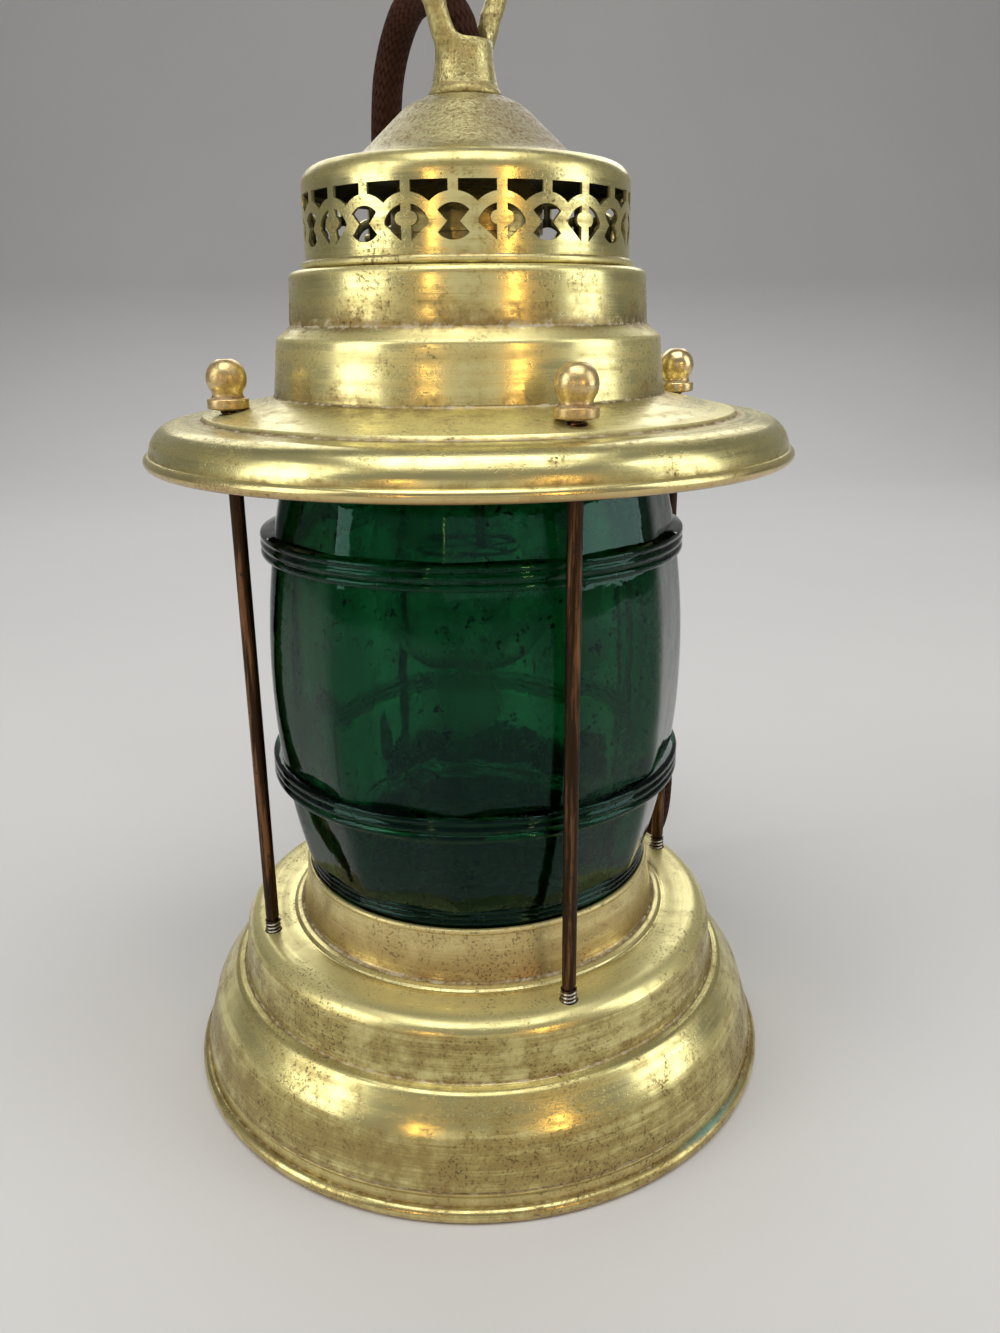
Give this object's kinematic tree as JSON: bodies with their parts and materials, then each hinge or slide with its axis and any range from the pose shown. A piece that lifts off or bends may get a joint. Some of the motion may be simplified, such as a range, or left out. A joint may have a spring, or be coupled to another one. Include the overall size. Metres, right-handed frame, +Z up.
{
  "type": "electric ship lantern",
  "caption": "Brass ship lantern wired for electric light, with a tiered hood, pierced band, panelled green glass barrel globe, tie rods, flared base and a cloth cord.",
  "frame": {"origin": "middle of the base, on the surface it stands on", "axes": "+Z up along the lantern's axis, -Y towards the viewer of the picture, +X to the viewer's right"},
  "size_m": [0.1552, 0.2789, 0.2784],
  "materials": {
    "aged_brass": "spun sheet, tarnished, with lathe lines",
    "dull_brass": "dull and pitted",
    "cast_brass": "cast, worn",
    "bright_brass": "turned, handled",
    "dark_rod": "darkened rod with copper streaks",
    "inner_brass": "plain",
    "green_glass": "pressed dark green glass",
    "clear_glass": "clear",
    "bulb_metal": "plain",
    "filament": "drawn wire",
    "black_insulator": "black glass",
    "porcelain": "glazed porcelain",
    "fibre": "vulcanised fibre",
    "cloth_cord": "braided cloth",
    "wire_cover": "rubber",
    "plug_plastic": "moulded, dark brown"
  },
  "bodies": {
    "base": {"base_shell": "aged_brass", "globe": "green_glass", "tie_rod_1": "dark_rod", "tie_rod_2": "dark_rod", "tie_rod_3": "dark_rod", "tie_rod_4": "dark_rod", "rod_nuts": "inner_brass", "cord_coil": "cloth_cord", "plug_body": "plug_plastic", "plug_blades": "inner_brass"},
    "cap": {"canopy": "aged_brass", "gallery": "aged_brass", "dome": "dull_brass", "hanging_loop": "cast_brass", "loop_nipple": "inner_brass", "nipple_locknut": "inner_brass", "cord_lead": "cloth_cord", "lead_wires": "wire_cover", "socket_cap": "inner_brass", "socket_shell": "inner_brass", "socket_liner": "fibre", "socket_core": "porcelain", "terminal_screws": "inner_brass", "centre_contact": "inner_brass", "screw_shell": "inner_brass", "cord_drop": "cloth_cord"},
    "bulb": {"bulb_glass": "clear_glass", "bulb_base": "bulb_metal", "bulb_insulator": "black_insulator", "bulb_contact": "bulb_metal", "bulb_stem": "clear_glass", "bulb_filament": "filament"},
    "nut_1": {"ball_nut_1": "bright_brass"},
    "nut_2": {"ball_nut_2": "bright_brass"},
    "nut_3": {"ball_nut_3": "bright_brass"},
    "nut_4": {"ball_nut_4": "bright_brass"}
  },
  "joints": [
    {"name": "cap_lift", "type": "slide", "parent": "base", "child": "cap", "axis": [0, 0, 1], "range_m": [0, 0.09]},
    {"name": "bulb_turn", "type": "hinge", "parent": "cap", "child": "bulb", "pos_m": [0, 0, 0.19], "axis": [0, 0, 1], "continuous": true},
    {"name": "nut_1_turn", "type": "hinge", "parent": "cap", "child": "nut_1", "pos_m": [0.02043, -0.05321, 0.177], "axis": [0, 0, 1], "continuous": true},
    {"name": "nut_2_turn", "type": "hinge", "parent": "cap", "child": "nut_2", "pos_m": [0.05321, 0.02043, 0.177], "axis": [0, 0, 1], "continuous": true},
    {"name": "nut_3_turn", "type": "hinge", "parent": "cap", "child": "nut_3", "pos_m": [-0.02043, 0.05321, 0.177], "axis": [0, 0, 1], "continuous": true},
    {"name": "nut_4_turn", "type": "hinge", "parent": "cap", "child": "nut_4", "pos_m": [-0.05321, -0.02043, 0.177], "axis": [0, 0, 1], "continuous": true}
  ]
}
